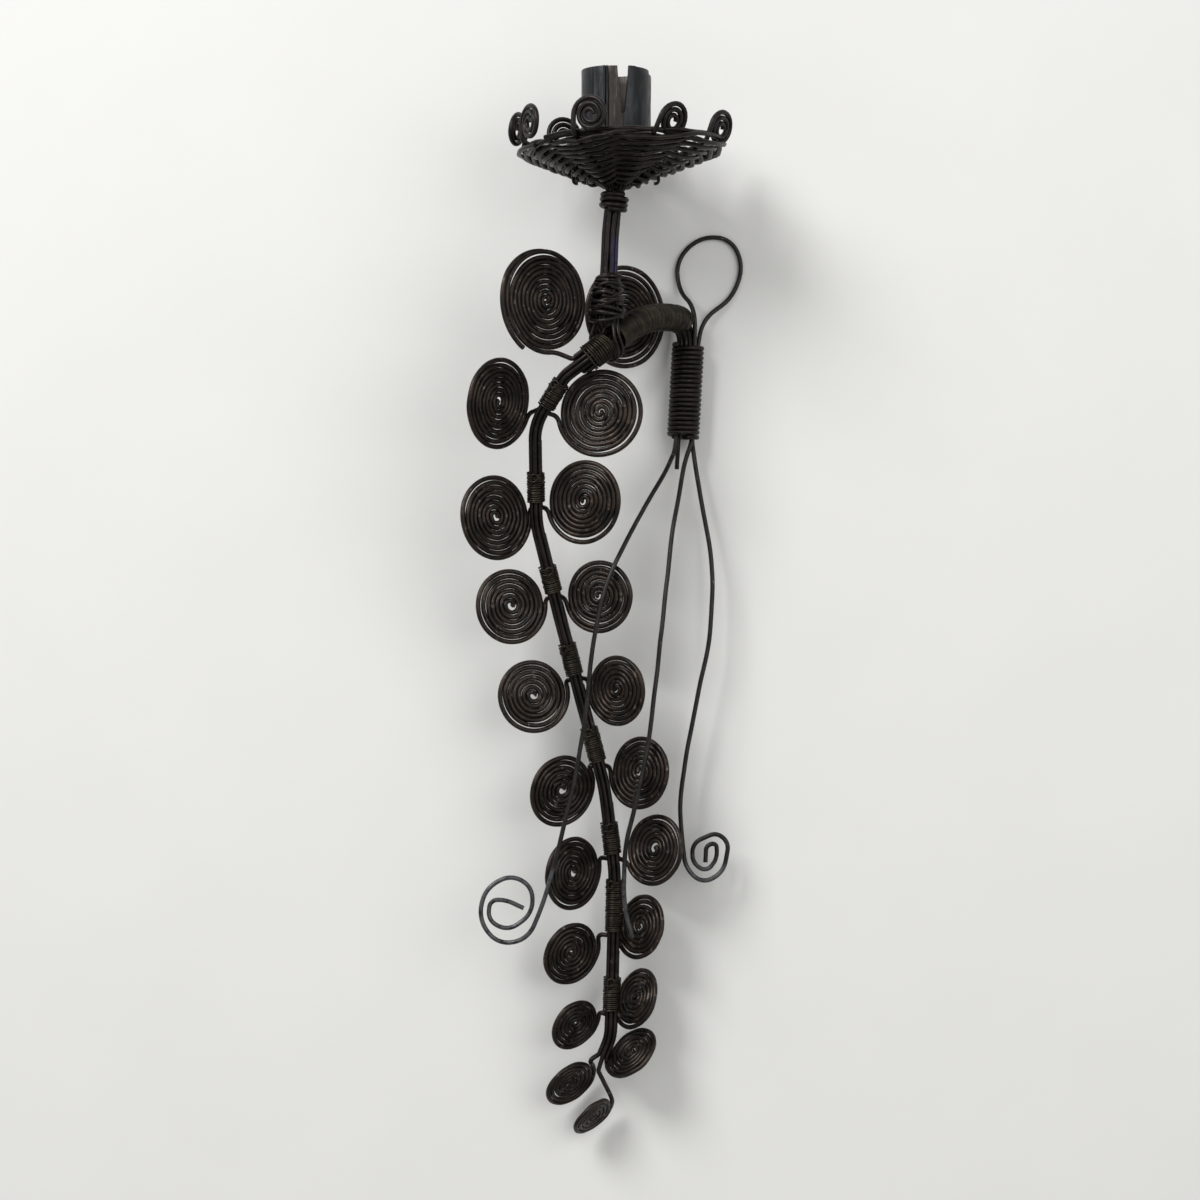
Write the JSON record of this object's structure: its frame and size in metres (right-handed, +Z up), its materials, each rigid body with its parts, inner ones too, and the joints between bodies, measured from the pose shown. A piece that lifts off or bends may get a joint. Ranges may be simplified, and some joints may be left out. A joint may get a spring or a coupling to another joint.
{
  "type": "wall sconce",
  "caption": "Wall sconce for one candle: a woven wire pan on an arm that turns down as a vine of flat coiled wire leaves, with long wire tendrils.",
  "frame": {"origin": "where the nail bears on the inside of the hanging loop", "axes": "+Z is up along the vine towards the candle, +Y points into the wall, and the viewer stands on the -Y side"},
  "size_m": [0.1037, 0.084, 0.389],
  "materials": {
    "black_wire": "satin",
    "leaf_wire": "satin",
    "grey_wire": "satin",
    "fine_wire": "satin",
    "rusty_sheet": "worn",
    "blue_grey_sheet": "worn"
  },
  "bodies": {
    "root": {"candle_shell": "blue_grey_sheet", "candle_sleeve": "rusty_sheet", "cup_hooks": "black_wire", "pan_weave": "black_wire", "stem_core": "black_wire", "neck_collar": "black_wire", "stem_knot": "black_wire", "stem_ties": "black_wire", "rib_1": "black_wire", "rib_2": "black_wire", "rib_3": "black_wire", "rib_4": "black_wire", "rib_5": "black_wire", "rib_6": "black_wire", "rib_7": "black_wire", "rib_8": "black_wire", "spine_wires": "black_wire", "arm_packing": "black_wire", "arm_wrap": "fine_wire", "root_wrap": "fine_wire", "hanger_wrap": "black_wire", "hanging_loop": "grey_wire", "left_tendril": "grey_wire", "middle_tendril": "grey_wire", "right_tendril": "grey_wire", "binding_2": "fine_wire", "binding_3": "fine_wire", "binding_4": "fine_wire", "binding_5": "fine_wire", "binding_6": "fine_wire", "binding_7": "fine_wire", "binding_8": "fine_wire", "binding_9": "fine_wire", "left_leaf_1": "leaf_wire", "left_leaf_2": "leaf_wire", "left_leaf_3": "leaf_wire", "left_leaf_4": "leaf_wire", "left_leaf_5": "leaf_wire", "left_leaf_6": "leaf_wire", "left_leaf_7": "leaf_wire", "left_leaf_8": "leaf_wire", "left_leaf_9": "leaf_wire", "left_leaf_10": "leaf_wire", "right_leaf_1": "leaf_wire", "right_leaf_2": "leaf_wire", "right_leaf_3": "leaf_wire", "right_leaf_4": "leaf_wire", "right_leaf_5": "leaf_wire", "right_leaf_6": "leaf_wire", "right_leaf_7": "leaf_wire", "right_leaf_8": "leaf_wire", "right_leaf_9": "leaf_wire", "right_leaf_10": "leaf_wire", "tip_leaf": "leaf_wire"}
  },
  "joints": []
}
